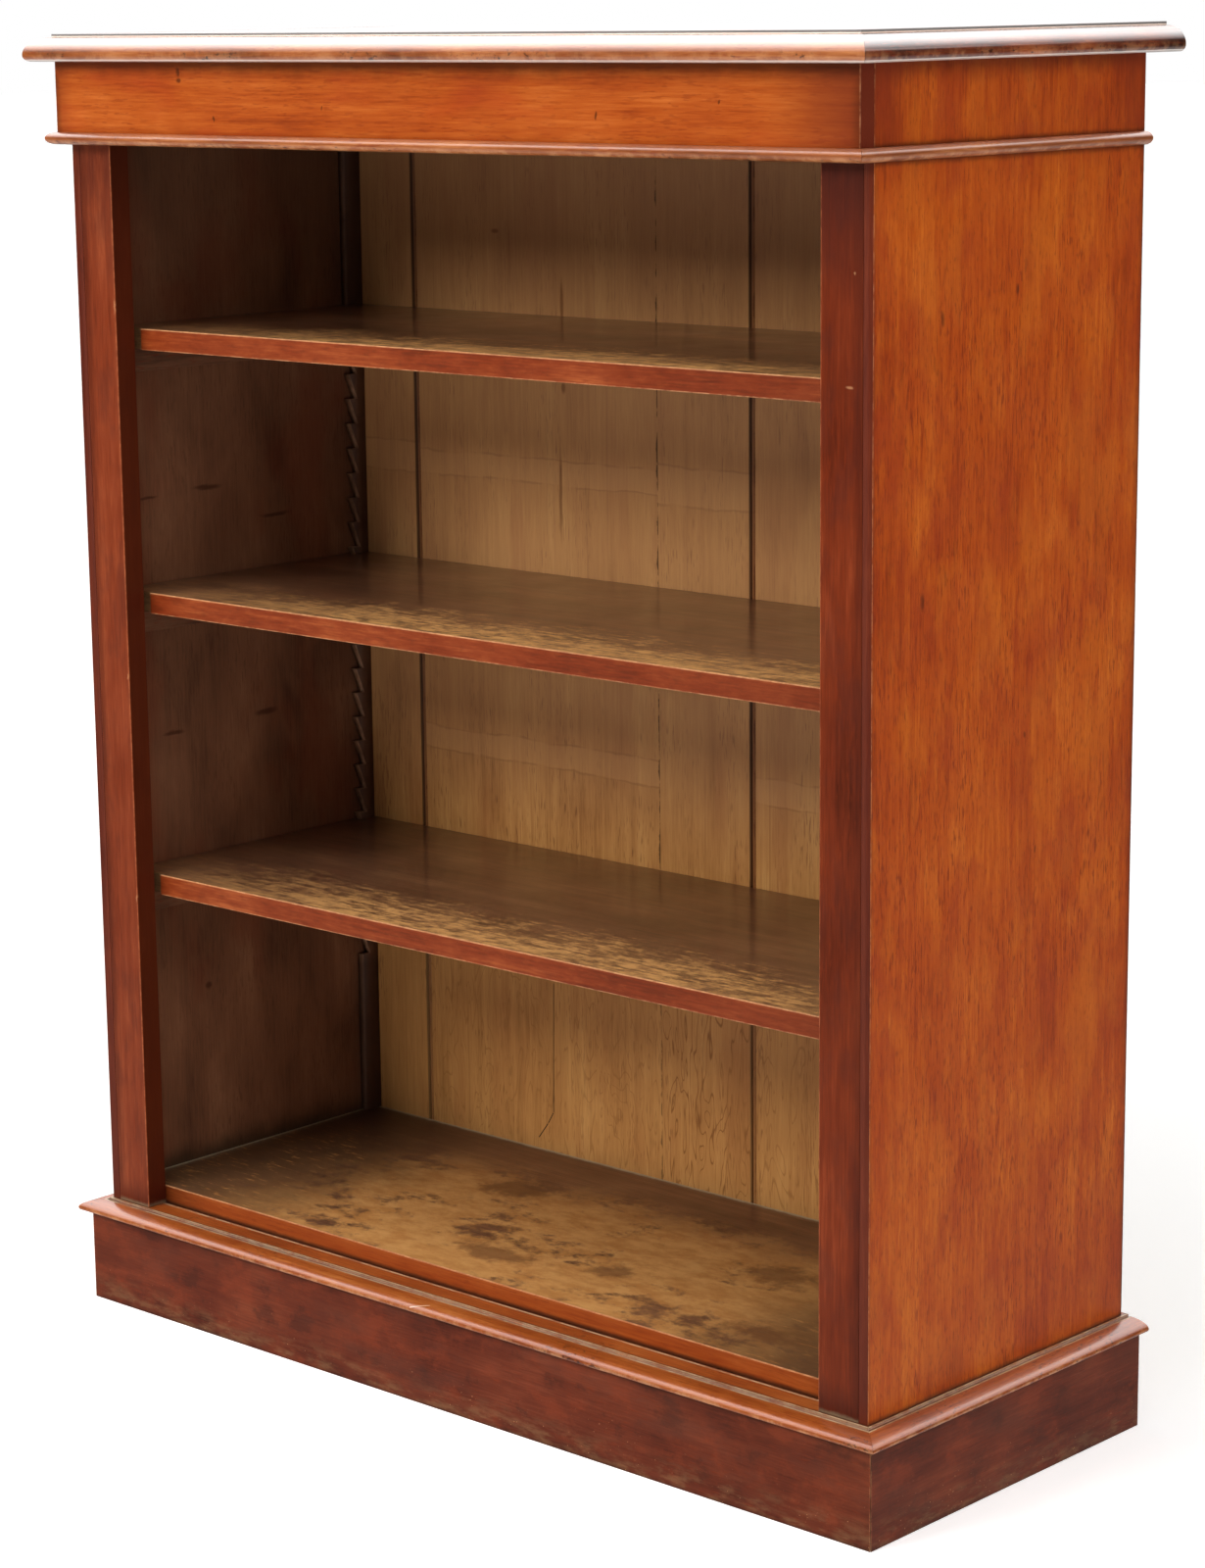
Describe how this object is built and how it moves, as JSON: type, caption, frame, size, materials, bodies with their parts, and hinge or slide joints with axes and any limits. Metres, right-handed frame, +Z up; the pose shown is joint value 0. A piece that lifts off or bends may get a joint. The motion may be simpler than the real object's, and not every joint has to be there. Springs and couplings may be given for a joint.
{
  "type": "bookcase with adjustable shelves",
  "caption": "Open mahogany bookcase with moulded top and plinth, and loose shelves that rest on bearers seated in toothed racks.",
  "frame": {"origin": "on the floor, at the middle of the whole outline", "axes": "+Z up, the open front faces -Y, +X to the right of someone facing the front"},
  "size_m": [1.0136, 0.434, 1.248],
  "materials": {
    "side_mahogany": "French-polished mahogany, orange-brown, vertical grain, dark flecks",
    "pilaster_mahogany": "French-polished mahogany, dark red-brown",
    "frieze_mahogany": "French-polished mahogany, orange-brown, horizontal grain",
    "top_mahogany": "French-polished mahogany with a high gloss",
    "moulding_mahogany": "French-polished mahogany, golden-brown, glossy, worn on the nose",
    "plinth_mahogany": "polished mahogany, dark red-brown, scuffed along the floor edge",
    "shelf_mahogany": "dark brown top worn to ochre near the front, red-brown polished front edge",
    "bottom_mahogany": "dark brown board worn to ochre patches, red-brown front edge",
    "inner_mahogany": "unpolished dark brown mahogany",
    "back_pine": "dry tan pine with vertical grain and resin streaks",
    "rough_pine": "rough-sawn unfinished pine",
    "steel": "dulled steel"
  },
  "bodies": {
    "carcase": {"plinth_front": "plinth_mahogany", "plinth_left": "plinth_mahogany", "plinth_right": "plinth_mahogany", "plinth_back": "rough_pine", "glue_block_front_left": "rough_pine", "glue_block_front_right": "rough_pine", "glue_block_rear_left": "rough_pine", "glue_block_rear_right": "rough_pine", "base_moulding_front": "moulding_mahogany", "base_moulding_left": "moulding_mahogany", "base_moulding_right": "moulding_mahogany", "base_rear_rail": "rough_pine", "left_side_panel": "side_mahogany", "right_side_panel": "side_mahogany", "left_pilaster": "pilaster_mahogany", "right_pilaster": "pilaster_mahogany", "bottom_board": "bottom_mahogany", "carcase_top_board": "rough_pine", "back_board_1": "back_pine", "back_board_2": "back_pine", "back_board_3": "back_pine", "back_board_4": "back_pine", "frieze_board": "frieze_mahogany", "frieze_rail": "rough_pine", "astragal_front": "moulding_mahogany", "astragal_left": "moulding_mahogany", "astragal_right": "moulding_mahogany", "top_board": "top_mahogany", "top_moulding_front": "top_mahogany", "top_moulding_left": "top_mahogany", "top_moulding_right": "top_mahogany", "rack_rear_left": "inner_mahogany", "rack_rear_right": "inner_mahogany", "rack_front_left": "inner_mahogany", "rack_front_right": "inner_mahogany", "top_screw_front_left": "steel", "top_screw_front_middle": "steel", "top_screw_front_right": "steel", "top_screw_rear_left": "steel", "top_screw_rear_middle": "steel", "top_screw_rear_right": "steel", "base_screw_front_left": "steel", "base_screw_front_right": "steel", "base_screw_rear_left": "steel", "base_screw_rear_right": "steel"},
    "lower_shelf": {"lower_shelf": "shelf_mahogany"},
    "middle_shelf": {"middle_shelf": "shelf_mahogany"},
    "upper_shelf": {"upper_shelf": "shelf_mahogany"},
    "lower_bearer_left": {"lower_bearer_left": "inner_mahogany"},
    "lower_bearer_right": {"lower_bearer_right": "inner_mahogany"},
    "middle_bearer_left": {"middle_bearer_left": "inner_mahogany"},
    "middle_bearer_right": {"middle_bearer_right": "inner_mahogany"},
    "upper_bearer_left": {"upper_bearer_left": "inner_mahogany"},
    "upper_bearer_right": {"upper_bearer_right": "inner_mahogany"}
  },
  "joints": [
    {"name": "lower_shelf_lift", "type": "slide", "parent": "carcase", "child": "lower_shelf", "axis": [0, 0, 1], "range_m": [0, 0.232]},
    {"name": "middle_shelf_lift", "type": "slide", "parent": "carcase", "child": "middle_shelf", "axis": [0, 0, 1], "range_m": [0, 0.207]},
    {"name": "upper_shelf_lift", "type": "slide", "parent": "carcase", "child": "upper_shelf", "axis": [0, 0, 1], "range_m": [0, 0.23]},
    {"name": "lower_bearer_left_draw", "type": "slide", "parent": "carcase", "child": "lower_bearer_left", "axis": [1, 0, 0], "range_m": [0, 0.025]},
    {"name": "lower_bearer_right_draw", "type": "slide", "parent": "carcase", "child": "lower_bearer_right", "axis": [-1, 0, 0], "range_m": [0, 0.025]},
    {"name": "middle_bearer_left_draw", "type": "slide", "parent": "carcase", "child": "middle_bearer_left", "axis": [1, 0, 0], "range_m": [0, 0.025]},
    {"name": "middle_bearer_right_draw", "type": "slide", "parent": "carcase", "child": "middle_bearer_right", "axis": [-1, 0, 0], "range_m": [0, 0.025]},
    {"name": "upper_bearer_left_draw", "type": "slide", "parent": "carcase", "child": "upper_bearer_left", "axis": [1, 0, 0], "range_m": [0, 0.025]},
    {"name": "upper_bearer_right_draw", "type": "slide", "parent": "carcase", "child": "upper_bearer_right", "axis": [-1, 0, 0], "range_m": [0, 0.025]}
  ]
}
